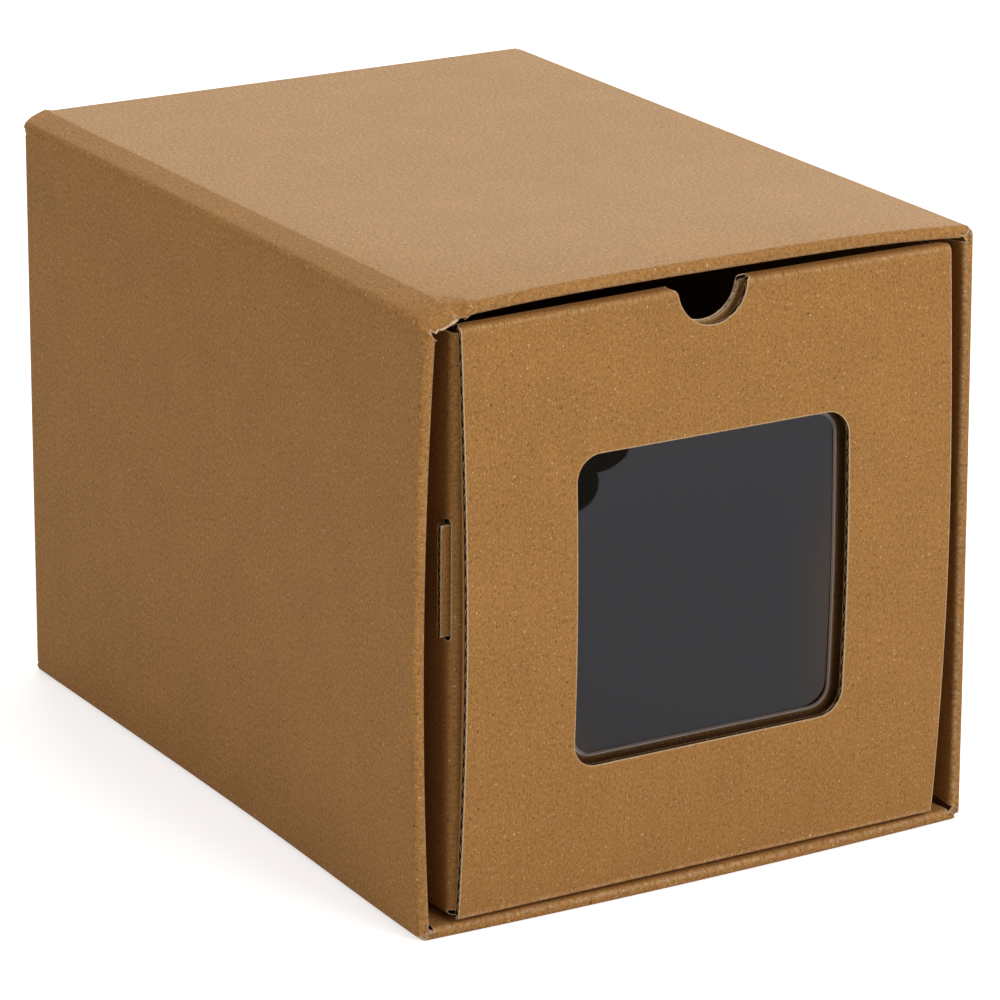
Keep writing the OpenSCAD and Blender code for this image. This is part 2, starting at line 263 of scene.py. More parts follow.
# The wall's rear fold has the board's own radius, so its line is joined to the hem's here
rear = folded_line([(0, 0), (BACK - 1.5 * BOARD, 0), (BACK - 1.5 * BOARD, 56)], FOLD)
crest = top_line[0][18]                             # where the hem's round crest meets the wall
run_at = lambda y: crest + y - top_line[1][18, 0]   # run of a place on a wall, from the hem's end
wall_line = tuple(np.concatenate([a[:19], b[1:] + (run_at(0.0) if i == 0 else 0)])
                  for i, (a, b) in enumerate(zip(top_line, rear)))
rear_fold, tube_end = run_at(BACK - 1.5 * BOARD - FOLD), run_at(BACK - BOARD - 0.1)
top_end, strip_end = run_at(BACK - BOARD / 2 - FOLD), run_at(BACK - 0.6)
hem_place = at(top_line, np.linspace(0, crest, 200))


def sleeve_outline(u, v):
    """Distance inside the flat blank of the tube. Its parts are the tube up to its rear, the
    mitred hems before it, and three flaps behind it, each bounded by straight cuts."""
    inward = np.interp(v, np.linspace(0, crest, 200), hem_place[1])
    cut = np.where(v < top_line[0][9], HEM_THICK - 0.4 + (top_line[0][1] - v) * 0.14, inward + 0.6)
    apart = np.full(np.shape(u), 1e3)
    for lo, hi in ((corner[0],) * 2, (corner[1],) * 2, (corner[2], corner[3]), (corner[4],) * 2):
        apart = np.minimum(apart, np.maximum(lo - u, u - hi))
    ragged = crest - 2.3 + 0.35 * np.sin(u * 2.3) + 0.25 * np.sin(u * 5.9) + np.clip(u - corner[3] + 5.5, 0, 5) * 0.3
    strip = np.minimum.reduce([u - corner[2] - 0.2, corner[3] - 0.9 - u, v - ragged])
    front = np.maximum.reduce([np.minimum(apart - cut, v), v - crest - 0.4, strip])
    flaps = np.full(np.shape(u), -1e3)
    for a, b, long in ((corner[0], corner[1], 56), (corner[3], corner[4], 56),
                       (corner[4] - tube[0][-1], corner[0], 33), (corner[4], corner[0] + tube[0][-1], 33)):
        side = np.minimum(u - a, b - u) - 3.0 - np.maximum(v - rear_fold, 0)
        flaps = np.maximum(flaps, np.minimum(side, rear_fold + long - v))
    on_top = (u > tube[0][arcs[1]][-1] + 0.01) & (u < tube[0][arcs[2]][0] - 0.01)
    eased = strip_end - np.clip(u - corner[3] + 5, 0, 6) * 0.55
    ends = np.where((u > corner[2] - 3) & (u < corner[3] + 1), eased,
                    np.where(apart > 2.9, rear_fold + 0.2, rear_fold + 1.2))
    tube_part = np.where(on_top, top_end, ends) - v
    return np.minimum(front, np.maximum(tube_part, flaps))


def lay_sleeve(u, v, d):
    """Place of a blank's point: u runs round the tube, v from the hem's end over the crest to the
    rear, d is the height over the board's middle, outwards."""
    x, z, ox, oz = at(tube, u)
    top = (u > corner[1]) & (u < corner[3] + 1)
    straight = top | (v < rear_fold - 1) | (np.min([abs(u - c) for c in corner], 0) < 2.6)
    y, w, ny, nw = [np.where(straight, s, t) for s, t in zip(at(top_line, v), at(wall_line, v))]
    strip = (u > corner[2] - 0.3) & (u < corner[3] + 0.3) & (v < crest)
    y, w = np.where(strip, top_line[1][18, 0] + v - crest, y), np.where(strip, 0, w)
    ny, nw = np.where(strip, 0, ny), np.where(strip, top_line[2][18, 1], nw)
    firm = np.clip(np.maximum(np.abs(u - corner[2] / 2 - corner[3] / 2) - 7, v - crest) / 5 + 0.35, 0.35, 1)
    d = BOARD / 2 - (BOARD / 2 - d) * firm
    deep = w - d * nw
    return np.stack([x - ox * deep, y - ny * d, z - oz * deep], 1)


def warp_sleeve(p):
    """The front edges' spring: the top's hem arches up, the left wall's edge stands out and bows,
    the right wall's a little, and the bottom's edge bows to the front. The strip's front end is
    crushed down on to the left wall. Each fades towards the back."""
    x, y, z = p.T.copy()
    near = np.exp(-np.clip(y - FRONT, 0, None) ** 2 / (2 * 75 ** 2))
    fade = lambda t: np.clip(t, 0, 1) ** 2 * (3 - 2 * np.clip(t, 0, 1))
    arch = 1 - np.abs(x / 125) ** 3.5
    z += 3.9 * arch * near * fade((z - 130) / 110)
    crushed = np.exp(-((y - FRONT) / 9) ** 2) * fade((-x - 104) / 9) * fade((z - 242) / 5)
    x, y, z = x + 1.3 * crushed, y - 0.8 * crushed, z - 2.7 * crushed
    level = 1 - ((z - 127) / 127) ** 2
    below = 1 - z / 254
    x -= (1.2 + 2.4 * below + 4.0 * level) * near * fade((-x - 40) / 75)
    x += (0.1 + 4.2 * below + 0.3 * level) * near * fade((x - 40) / 75)
    y -= 2.6 * (1 - (x / 125) ** 2) * near * fade((60 - z) / 50)
    return np.stack([x, y, z], 1)


# ------------------------------------------------------------------ kraft paper, as two finishes
def put(tree, kind, at_x=0, values=None, **settings):
    """A node of a kind, with its settings and the values of its sockets."""
    new = tree.nodes.new("ShaderNode" + kind)
    new.location = (at_x, 0)
    for key, value in settings.items():
        setattr(new, key, value)
    for key, value in (values or {}).items():
        new.inputs[key].default_value = value
    return new


def ramp(tree, stops):
    """A colour ramp with the given stops of place and brightness or colour."""
    new = put(tree, "ValToRGB")
    band = new.color_ramp
    while len(band.elements) < len(stops):
        band.elements.new(0.5)
    for element, (place, colour) in zip(band.elements, stops):
        element.position = place
        element.color = (*colour, 1) if hasattr(colour, "__len__") else (colour, colour, colour, 1)
    return new


def kraft_group():
    """Kraft paper: cloudy pulp, streaks of fibre along the paper's run, and dark and pale flecks.
    Gives the tint to multiply, and the height."""
    group = bpy.data.node_groups.new("kraft_paper", "ShaderNodeTree")
    face = group.interface
    face.new_socket("Place", in_out="INPUT", socket_type="NodeSocketVector")
    face.new_socket("Colour", in_out="INPUT", socket_type="NodeSocketColor")
    face.new_socket("Wear and highlight", in_out="INPUT", socket_type="NodeSocketVector")
    face.new_socket("Colour", in_out="OUTPUT", socket_type="NodeSocketColor")
    face.new_socket("Height", in_out="OUTPUT", socket_type="NodeSocketFloat")
    face.new_socket("Roughness", in_out="OUTPUT", socket_type="NodeSocketFloat")
    start, end = group.nodes.new("NodeGroupInput"), group.nodes.new("NodeGroupOutput")
    link = group.links.new

    def noise(scale, detail, rough=0.55):
        """Noise on the blank, with a scale for each of its directions in cycles a millimetre."""
        spread = put(group, "Mapping", values={"Scale": scale})
        link(start.outputs["Place"], spread.inputs["Vector"])
        new = put(group, "TexNoise", values={"Scale": 1.0, "Detail": detail, "Roughness": rough})
        link(spread.outputs[0], new.inputs["Vector"])
        return new.outputs["Fac"]

    def graded(value, stops):
        new = ramp(group, stops)
        link(value, new.inputs[0])
        return new.outputs[0]

    colour = start.outputs["Colour"]

    def times(a, b):
        new = put(group, "Mix", data_type="RGBA", blend_type="MULTIPLY", values={"Factor": 1.0})
        link(a, new.inputs[6])
        link(b, new.inputs[7])
        return new.outputs[2]

    cloud = graded(noise((0.03, 0.03, 1), 3), [(0.3, 0.955), (0.7, 1.04)])
    streak = graded(noise((0.5, 0.035, 1), 3), [(0.3, 0.95), (0.7, 1.045)])
    mottle = noise((1.0, 0.55, 1), 3, 0.7)
    fine = noise((1.9, 1.1, 1), 2, 0.7)
    for part in (cloud, streak, graded(mottle, [(0.34, 0.74), (0.5, 1.0), (0.68, 1.22)]),
                 graded(fine, [(0.32, 0.70), (0.5, 1.0), (0.68, 1.28)])):
        colour = times(colour, part)
    dark = graded(noise((0.9, 0.55, 1), 1), [(0.68, (1, 1, 1)), (0.76, (0.40, 0.32, 0.28))])
    colour = times(colour, dark)

    def mix_to_tint(base, mask, tint):
        """The base colour mixed towards a tint by a mask."""
        new = put(group, "Mix", data_type="RGBA", values={7: (*tint, 1)})
        link(mask, new.inputs["Factor"])
        link(base, new.inputs[6])
        return new.outputs[2]

    shift = put(group, "VectorMath", operation="ADD", values={1: (51.7, 13.3, 7.1)})
    link(start.outputs["Place"], shift.inputs[0])
    spread = put(group, "Mapping", values={"Scale": (1.0, 0.7, 1)})
    link(shift.outputs[0], spread.inputs["Vector"])
    specks = put(group, "TexNoise", values={"Scale": 1.0, "Detail": 1.0})
    link(spread.outputs[0], specks.inputs["Vector"])
    colour = mix_to_tint(colour, graded(specks.outputs["Fac"], [(0.70, 0.0), (0.77, 0.85)]), (0.70, 0.50, 0.30))

    # Cut edges: rubbed pale in a thin line that comes and goes. Creases: the same thin pale line, partly wear and
    # partly a painted highlight along the fold's crest
    apart = put(group, "SeparateXYZ")
    link(start.outputs["Wear and highlight"], apart.inputs[0])
    rub_and_gleam = noise((0.7, 0.7, 1), 4, 0.7)
    for socket, reach, power in (("X", 0.55, 0.95), ("Y", 0.8, 0.45)):
        near = put(group, "MapRange", values={"From Min": 0.0, "From Max": reach, "To Min": 1.0, "To Max": 0.0})
        link(apart.outputs[socket], near.inputs["Value"])
        patch = graded(rub_and_gleam, [(0.34, 0.25), (0.62, 1.0)] if socket == "X" else [(0.42, 0.0), (0.62, 1.0)])
        mask = put(group, "Math", operation="MULTIPLY", use_clamp=True)
        link(near.outputs[0], mask.inputs[0])
        link(patch, mask.inputs[1])
        level = put(group, "Math", operation="MULTIPLY", values={1: power})
        link(mask.outputs[0], level.inputs[0])
        colour = mix_to_tint(colour, level.outputs[0], (0.72, 0.53, 0.33))
    link(colour, end.inputs["Colour"])
    height = put(group, "Math", operation="ADD")
    link(mottle, height.inputs[0])
    link(fine, height.inputs[1])
    link(height.outputs[0], end.inputs["Height"])
    link(graded(mottle, [(0.2, 0.62), (0.8, 0.50)]), end.inputs["Roughness"])
    return group


kraft_paper = kraft_group()


def kraft_material(name, colour, bump=0.25):
    """Kraft paper of one colour on the piece's blank."""
    material = bpy.data.materials.new(name)
    material.use_nodes = True
    tree = material.node_tree
    shader = tree.nodes["Principled BSDF"]
    place = put(tree, "Attribute", attribute_name="blank", attribute_type="GEOMETRY")
    paper = tree.nodes.new("ShaderNodeGroup")
    paper.node_tree = kraft_paper
    paper.inputs["Colour"].default_value = (*colour, 1)
    raised = put(tree, "Bump", values={"Strength": bump, "Distance": 0.0002})
    link = tree.links.new
    link(place.outputs["Vector"], paper.inputs["Place"])
    rubbed_and_lit_map = put(tree, "Attribute", attribute_name="wear", attribute_type="GEOMETRY")
    link(rubbed_and_lit_map.outputs["Vector"], paper.inputs["Wear and highlight"])
    link(paper.outputs["Colour"], shader.inputs["Base Color"])
    link(paper.outputs["Roughness"], shader.inputs["Roughness"])
    link(paper.outputs["Height"], raised.inputs["Height"])
    link(raised.outputs[0], shader.inputs["Normal"])
    shader.inputs["Specular IOR Level"].default_value = 0.10
    material.diffuse_color = (*colour, 1)
    return material


kraft_face = kraft_material("kraft_face", (0.37, 0.178, 0.052))
kraft_cut = kraft_material("kraft_cut", (0.72, 0.54, 0.35))
# Near black: painted shade in the flutes' hollows and on the medium's sides
kraft_flute_painted_shade = kraft_material("kraft_flute_painted_shade", (0.06, 0.028, 0.010))
kraft_finishes = [kraft_face, kraft_cut, kraft_flute_painted_shade]

sleeve_shell = Shell()
mitres = [c + s for c in corner for s in (-2.95, 2.95)]
u_lines = grid_lines(np.concatenate([[0, tube[0][-1]], *[tube[0][a] for a in arcs], mitres]), 1.3, 15, 9)
v_marks = [top_line[0][:19], crest + np.array([0.4, 1.2, 2.4, 4, 7, 12]),
           [top_end, strip_end, strip_end - 3.3, rear_fold + 0.2, rear_fold + 1.2],
           run_at(0.0) + rear[0][1:10], [rear_fold + 33, rear_fold + 56]]
v_lines = grid_lines(np.concatenate(v_marks), 2.0, 4, 11)
flat_joint = lambda u, v: (u > tube[0][arcs[1]][-1]) & (u < tube[0][arcs[2]][0]) & (v > top_end - 3)
hem_mid = (top_line[0][9] + top_line[0][10]) / 2
# Distance to the hem's crest and to the tube's corners, where a pale line is partly wear and partly painted highlight
sleeve_creases = lambda u, v: np.minimum(np.abs(v - hem_mid + 0.9), np.min([np.abs(u - c) + 0.5 for c in corner], 0))
crushed_strip = lambda u, v: (u > corner[2] - 7) & (u < corner[3] + 9) & (v < crest + 5)
crushed_mitre = lambda u, v: crushed_strip(u, v) | (
    (v > top_line[0][9] - 4) & (v < crest + 1) & (u > 8) & (u < tube[0][-1] - 8))
cut_sheet(sleeve_shell, u_lines, v_lines, sleeve_outline, lay_sleeve, lambda u, v: u, joined=flat_joint,
          fluted=lambda u, v: (v < crest + 5) & ~crushed_mitre(u, v), creases=sleeve_creases,
          clear=flat_joint, pale=crushed_mitre)

# The back panel folds down from the top wall and is glued over the three flaps
back_line = folded_line([(BACK - BOARD / 2 - FOLD, top_z), (BACK - BOARD / 2, top_z), (BACK - BOARD / 2, 0.5)], FOLD)


def back_outline(x, q):
    """Distance inside the back panel: the width of the top wall in the fold, the sleeve's own
    outline below it, whose left edge drops with the strip."""
    z = np.interp(q, back_line[0], back_line[1][:, 1])
    panel = np.minimum.reduce([121.8 - np.abs(x), z - 0.5, 253.5 - 0.36 * np.clip(-x - 113, 0, None) - z])
    lower = np.minimum(panel, q - back_line[0][9] - 0.9)
    hung = np.minimum(x - tube[1][arcs[2]][0, 0], tube[1][arcs[1]][-1, 0] - x)
    return np.maximum(lower, np.minimum(hung, z - 0.5))


def lay_back(x, q, d):
    """Place of the panel's point: x across, q down from the top wall, d outwards."""
    y, z, ny, nz = at(back_line, q)
    return np.stack([x, y - ny * d, z - nz * d], 1)


on_top = (u_lines >= tube[0][arcs[1]][-1] - 1e-3) & (u_lines <= tube[0][arcs[2]][0] + 1e-3)
x_top = np.interp(u_lines[on_top], tube[0], tube[1][:, 0])
x_marks = [x_top, np.linspace(-121.8, x_top.min(), 9), np.linspace(x_top.max(), 124.5, 4)]
x_lines = np.unique(np.round(np.concatenate(x_marks), 4))
q_lines = grid_lines(np.concatenate([back_line[0], [back_line[0][9] + 0.9, back_line[0][9] + 3, back_line[0][9] + 6]]), 1.5, 4, 12)
cut_sheet(sleeve_shell, x_lines, q_lines, back_outline, lay_back, lambda x, q: x, joined=lambda x, q: q < 0.2,
          fluted=lambda x, q: q > back_line[0][-1] - 3, seed=31.0, clear=lambda x, q: q < 4)

# The flap that joins the tube is glued inside the left wall, below the strip
glue_lines = grid_lines(np.array([FRONT + 26, BACK - 8]), 1.5, 4, 12)
glue_up = grid_lines(np.array([213.2, 245.2]), 1.5, 4, 8)
cut_sheet(sleeve_shell, glue_up, glue_lines,
          lambda z, y: np.minimum.reduce([z - 213.2, 245.2 - z, y - FRONT - 26, BACK - 8 - y]),
          lambda z, y, d: np.stack([0 * z + d - WIDE / 2 + 3.8, y, z], 1), lambda z, y: y, seed=43.0)

sleeve_piece = make_piece("sleeve_board", sleeve_shell, kraft_finishes, warp_sleeve)
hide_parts("sleeve")
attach(sleeve_piece, "sleeve")

# ---------------------------------------------------------------------------------------------
# Drawer: one blank of the same board. Bottom, front and back are one strip whose two ends roll
# over and come down inside; the side walls stand between, and their dust flaps go into the rolls.
# ---------------------------------------------------------------------------------------------
FACE, REAR = -175.75, 169.75           # outer faces of the front and the back
LOW, TOP, SIDE_TOP = 5.5, 248.5, 245.5
DRAWER_HALF = 113.8
PANEL_HALF, LINING_HALF, TAB_END = 112.4, 110.8, 117.2
ROLL, LOW_FOLD = 1.6, 1.3              # radius of the rolled walls' folds, and of those to the bottom
LINING = 7.75                          # depth of the inner layer's middle behind the face
TAB_LOW, TAB_HIGH = 123.0, 168.0
WINDOW_MID, WINDOW_ROUND = 125.5, 10.5
WINDOW_HALF = (63.0, 64.0)
WINDOW_INSET = 1.8                     # the inner layer's window is smaller all round
NOTCH, SHOULDER = 16.0, 2.5

strip_line = folded_line([
    (FACE + LINING, LOW + BOARD + 0.5), (FACE + LINING, TOP - 1.25), (FACE + 1.25, TOP - 1.25),
    (FACE + 1.25, LOW + 1.25), (REAR - 1.25, LOW + 1.25), (REAR - 1.25, TOP - 1.25),
    (REAR - LINING, TOP - 1.25), (REAR - LINING, LOW + BOARD + 0.5)],
    (ROLL, ROLL, LOW_FOLD, LOW_FOLD, ROLL, ROLL))
fold_run = [(strip_line[0][1 + 9 * i], strip_line[0][9 + 9 * i]) for i in range(6)]
crest_mid = [(fold_run[0][1] + fold_run[1][0]) / 2, (fold_run[4][1] + fold_run[5][0]) / 2]


def round_box(x, z, half_x, half_z, radius):
    """Distance outside a box with rounded corners round the origin."""
    a, b = np.abs(x) - half_x + radius, np.abs(z) - half_z + radius
    return np.hypot(np.maximum(a, 0), np.maximum(b, 0)) + np.minimum(np.maximum(a, b), 0) - radius


def notch_cut(x, z):
    """Distance outside the half round finger notch, whose two shoulders are eased by small arcs."""
    reach = np.sqrt((NOTCH + SHOULDER) ** 2 - SHOULDER ** 2)
    deep = SHOULDER * (1 - SHOULDER / (NOTCH + SHOULDER))
    eased = np.minimum.reduce([reach - np.abs(x), z - TOP + deep, np.hypot(np.abs(x) - reach, z - TOP + SHOULDER) - SHOULDER])
    return np.minimum(np.hypot(x, z - TOP) - NOTCH, -eased)


def strip_outline(x, q):
    """Distance inside the long strip: inner layer with its lock tabs, roll, front, bottom, back,
    roll and inner layer, with the windows and the notch cut from the front."""
    y, z, ny, nz = at(strip_line, q)
    z_face = z - nz * -BOARD / 2
    mid = (fold_run[2][1] + fold_run[3][0]) / 2
    lining = (q < crest_mid[0]) | (q > crest_mid[1])
    bottom = (q > fold_run[2][0] + 2) & (q < fold_run[3][1] - 2)
    wide = np.where(lining, LINING_HALF, np.where(bottom, DRAWER_HALF - FOLD - 1.25 - 0.02, PANEL_HALF))
    tab = np.minimum.reduce([TAB_END - np.abs(x), z - TAB_LOW, TAB_HIGH - z])
    side = np.where(lining, np.maximum(wide - np.abs(x), np.minimum(tab, TAB_END - np.abs(x))), wide - np.abs(x))
    ends = np.minimum(q, strip_line[0][-1] - q)
    front = q < mid
    inset = np.where(q < crest_mid[0], WINDOW_INSET, 0.0)
    window = round_box(x, z - WINDOW_MID, WINDOW_HALF[0] - inset, WINDOW_HALF[1] - inset, WINDOW_ROUND - inset)
    window = np.where(front & (z > 20), window, 50.0)
    notch = np.where(front & (z > 20), notch_cut(x, np.where(np.abs(nz) > 1e-3, z_face, z)), 50.0)
    return np.minimum.reduce([side, ends, window, notch])


def lay_strip(x, q, d):
    """Place of the strip's point: x across, q along it, d over the board's middle, outwards."""
    y, z, ny, nz = at(strip_line, q)
    return np.stack([x, y + ny * d, z + nz * d], 1)


def warp_drawer(p):
    """The front wall's bow: its layers stand forward at mid height, as an arch over the height. At
    the two sides only the outer layer does: the side walls, their flaps' folds and the lock tabs
    stay. The lower fold is pressed square and lifts a little, and the roll's left end is pressed
    down."""
    x, y, z = p.T.copy()
    ahead, under = FACE + LOW_FOLD + 1.25 - y, LOW + LOW_FOLD + 1.25 - z
    even = 2 * ahead * under / np.maximum(ahead ** 2 + under ** 2, 1e-6)
    square = np.where((ahead > 0) & (under > 0), 0.27 * even ** 2, 0)
    y, z = y - ahead * square, z - under * square
    rise = np.clip((z - LOW) / (TOP - LOW), 0, 1)
    bow = 5.8 * np.sin(np.pi * rise ** 0.92)
    side = np.clip((np.abs(x) - 82) / 28, 0, 1)
    held = np.clip((y - FACE - 2.4) / 0.5, 0, 1) * side ** 2 * (3 - 2 * side)
    y -= bow * (1 - held) * np.clip(1 - (y - FACE - 9) / 45, 0, 1) ** 2 * np.where(z > LOW + 3, 1, 0)
    z += 1.7 * np.clip(1 - (z - LOW) / 12, 0, 1) * np.clip(1 - (y - FACE) / 14, 0, 1)
    z -= 1.3 * np.clip((-x - 10) / 90, 0, 1) * np.clip((z - 236) / 10, 0, 1) * np.clip(1 - (y - FACE - 9) / 20, 0, 1)
    return np.stack([x, y, z], 1)


drawer_shell = Shell()
inner_half = (WINDOW_HALF[0] - WINDOW_INSET, WINDOW_HALF[1] - WINDOW_INSET)
x_marks = [0, PANEL_HALF, LINING_HALF, TAB_END, DRAWER_HALF - FOLD - 1.27, 63, 61.2, 52.5, 18.3, 16.0]
x_lines = grid_lines(np.array(sorted([-m for m in x_marks] + x_marks)), 1.5, 12, 6)
panel_top, panel_low = TOP - 1.25 - ROLL, LOW + 1.25 + LOW_FOLD
run_of = lambda z, k: (np.interp(-z, [-panel_top, -panel_low], [fold_run[1][1], fold_run[2][0]]) if k
                       else np.interp(z, [LOW + 3.0, panel_top], [0, fold_run[0][0]]))
q_marks = [0, strip_line[0][-1], *strip_line[0][1:-1], *crest_mid, fold_run[2][0] + 2, fold_run[3][1] - 2]
for k, half_z in ((0, inner_half[1]), (1, WINDOW_HALF[1])):
    q_marks += [run_of(WINDOW_MID + s * half_z, k) for s in (-1, 1)]
    q_marks += [run_of(WINDOW_MID + s * (64 - WINDOW_ROUND), k) for s in (-1, 1)]
    q_marks += [run_of(TOP - NOTCH, k), run_of(TOP - 5, k)]
last = strip_line[0][-1]
for z in (TAB_LOW, TAB_HIGH):
    q_marks += [run_of(z, 0), last - run_of(z, 0)]
q_lines = grid_lines(np.array(q_marks), 1.5, 12, 7)
# The top roll's and the lower fold's creases carry the same pale line, partly wear and partly painted highlight
cut_sheet(drawer_shell, x_lines, q_lines, strip_outline, lay_strip, lambda x, q: q,
          fluted=lambda x, q: q < fold_run[2][1], seed=57.0,
          creases=lambda x, q: np.minimum(np.abs(q - fold_run[1][1] + 1) + 0.2, np.abs(q - fold_run[2][0] - 0.8)),
          pale=lambda x, q: (q < crest_mid[0] - 4) & (np.abs(x) < 64) & (q > 20))

# Side walls, each with its fold to the bottom and a dust flap at either end
FLAP = 4.5                             # depth of a dust flap's middle behind the wall's face
side_low, side_x = LOW + 1.25, DRAWER_HALF - 1.25
side_line = folded_line([(-DRAWER_HALF + 3.8, side_low), (-side_x, side_low), (-side_x, SIDE_TOP)], FOLD)
flap_line = folded_line([(FACE + FLAP, 36.75), (FACE + FLAP, 0), (REAR - FLAP, 0), (REAR - FLAP, 36.75)], FOLD)
flap_end = (flap_line[0][9], flap_line[0][10])


def side_outline(p, q):
    """Distance inside a side wall's blank: the wall, a flap with sloping corners beyond either
    fold, and the slots that the lock tabs come out of."""
    z = np.interp(p, side_line[0], side_line[1][:, 1])
    top = SIDE_TOP - z
    wall = np.minimum.reduce([p + 0 * q, top, q - flap_end[0], flap_end[1] - q])
    out = np.maximum(flap_end[0] - q, q - flap_end[1])
    flap = np.minimum.reduce([z - LOW - 3.5 - np.clip(out - 4, 0, None) * 0.12, top - np.clip(out - 4, 0, None) * 0.2,
                              np.minimum(q, flap_line[0][-1] - q)])
    body = np.maximum(wall, flap)
    depth = at(flap_line, q)[0]
    slot = np.full(np.shape(z), 50.0)
    for centre in (flap_end[0] + 1.0, flap_end[1] - 1.0):
        slot = np.minimum(slot, round_box(q - centre, z - (TAB_LOW + TAB_HIGH) / 2, 2.2, 24.5, 1.4))
    return np.minimum(body, slot)


def lay_side(p, q, d):
    """Place of the left wall's point: p up from the bottom's fold, q from flap to flap, d outwards."""
    x, z, ox, oz = at(side_line, p)
    y, w, ny, nw = at(flap_line, q)
    deep = w + d * nw
    return np.stack([x + ox * deep, y + ny * d, z + oz * deep], 1)


p_marks = [side_line[0], [3.0 + LOW, TAB_LOW - 2 - side_low, TAB_HIGH + 2 - side_low]]
p_lines = grid_lines(np.concatenate(p_marks), 1.5, 8, 8)
f_marks = [flap_line[0], flap_end[0] + np.array([-1.2, 1, 3.2]), flap_end[1] - np.array([-1.2, 1, 3.2])]
f_lines = grid_lines(np.concatenate(f_marks), 1.0, 6, 11)
cut_sheet(drawer_shell, p_lines, f_lines, side_outline, lay_side, lambda p, q: q,
          fluted=lambda p, q: p > 150, seed=83.0)


def lay_right(p, q, d):
    """The right wall is the left one's mirror image."""
    return lay_side(p, q, d) * (-1, 1, 1)


cut_sheet(drawer_shell, p_lines, f_lines, side_outline, lay_right, lambda p, q: q,
          fluted=lambda p, q: p > 150, seed=97.0)

drawer_piece = make_piece("drawer_board", drawer_shell, kraft_finishes, warp_drawer)
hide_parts("drawer")
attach(drawer_piece, "drawer")

# ---------------------------------------------------------------------------------------------
# Window film: a thin clear sheet, glued to the inner layer's front round the window. Its colour is
# near black and it lets only about a quarter through: painted shade of the dark inside of the box.
# It is a little slack, and at its top left corner two ovals are painted metallic and near black: a
# painted dark reflection.
# ---------------------------------------------------------------------------------------------
film_x, film_z = np.meshgrid(np.linspace(-73, 73, 74), np.linspace(51.5, 199.5, 75), indexing="ij")
slack = np.clip(1 - (film_x / 61) ** 2, 0, 1) * np.clip(1 - ((film_z - WINDOW_MID) / 62) ** 2, 0, 1)
wavy = 0.25 * np.sin(film_x / 23 + film_z / 41) + 0.2 * np.sin(film_z / 17 - film_x / 60 + 1)
film_rows = []
for depth in (6.2, 6.5):
    y = FACE + depth - 0.02 + slack * (0.5 + wavy)
    film_rows.append(warp_drawer(np.stack([film_x.ravel(), y.ravel(), film_z.ravel()], 1)))
film_index = np.arange(film_x.size).reshape(film_x.shape)
film_quads = np.stack([film_index[:-1, :-1], film_index[1:, :-1], film_index[1:, 1:],
                       film_index[:-1, 1:]], 2).reshape(-1, 4)
film_edge = np.concatenate([film_index[:, 0], film_index[-1, 1:], film_index[-2::-1, -1], film_index[0, -2::-1]])
film_rim = np.stack([film_edge[1:], film_edge[:-1], film_edge[:-1] + film_x.size, film_edge[1:] + film_x.size], 1)
film_mesh = bpy.data.meshes.new("window_film_sheet")
film_faces = np.concatenate([film_quads, film_quads[:, ::-1] + film_x.size, film_rim])
film_mesh.from_pydata(np.concatenate(film_rows) / 1000, [], film_faces.tolist())
film_mesh.polygons.foreach_set("use_smooth", np.ones(len(film_mesh.polygons), bool))
film_mesh.set_sharp_from_angle(angle=np.radians(32))
film_piece = bpy.data.objects.new("window_film_sheet", film_mesh)
bpy.context.scene.collection.objects.link(film_piece)

film = bpy.data.materials.new("clear_film")
film.use_nodes = True
film_shader = film.node_tree.nodes["Principled BSDF"]
# The near black colour and the low clearness are painted shade of the dark inside of the box
for key, value in {"Base Color": (0.003, 0.001, 0.007, 1), "Roughness": 0.03, "IOR": 1.5, "Alpha": 0.72,
                   "Specular IOR Level": 0.61}.items():
    film_shader.inputs[key].default_value = value
film_tree = film.node_tree
spot = put(film_tree, "TexCoord")
reach = []
# Two ovals at the top left, where the film is painted metallic and near black: a painted dark reflection
for centre, size in (((-0.052, 0.188), (0.0165, 0.0085)), ((-0.063, 0.176), (0.0135, 0.011))):
    # Distance from an oval's middle, as a share of its half width and half height
    oval = put(film_tree, "Mapping", values={"Location": (-centre[0] / size[0], 0, -centre[1] / size[1]),
                                             "Scale": (1 / size[0], 0, 1 / size[1])})
    away = put(film_tree, "VectorMath", operation="LENGTH")
    film_tree.links.new(spot.outputs["Object"], oval.inputs["Vector"])
    film_tree.links.new(oval.outputs[0], away.inputs[0])
    reach.append(away.outputs["Value"])
least = put(film_tree, "Math", operation="MINIMUM")
film_tree.links.new(reach[0], least.inputs[0])
film_tree.links.new(reach[1], least.inputs[1])
patch = put(film_tree, "MapRange", values={"From Min": 0.96, "From Max": 1.03, "To Min": 1.0, "To Max": 0.0})
film_tree.links.new(least.outputs[0], patch.inputs["Value"])
film_tree.links.new(patch.outputs[0], film_shader.inputs["Metallic"])

# Distance outside a box with rounded corners: where the film lies on the board it is clearer, and less clear again
# towards the outer layer's edge, a painted shade of the outer layer over the ledge
last = spot.outputs["Object"]
for operation, value in (("SUBTRACT", (0, 0, 0.1258)), ("MULTIPLY", (1, 0, 1)), ("ABSOLUTE", None),
                         ("SUBTRACT", (0.0512, 0, 0.0530)), ("MAXIMUM", (0, 0, 0))):
    step = put(film_tree, "VectorMath", operation=operation, values=None if value is None else {1: value})
    film_tree.links.new(last, step.inputs[0])
    last = step.outputs[0]
away = put(film_tree, "VectorMath", operation="LENGTH")
film_tree.links.new(last, away.inputs[0])
wide = put(film_tree, "Math", operation="MULTIPLY", values={1: 50.0})
film_tree.links.new(away.outputs["Value"], wide.inputs[0])
film_alpha_painted_shade = ramp(film_tree, [(0.410, 0.72), (0.420, 0.92), (0.470, 0.88), (0.500, 0.25), (0.60, 0.42)])
film_tree.links.new(wide.outputs[0], film_alpha_painted_shade.inputs[0])
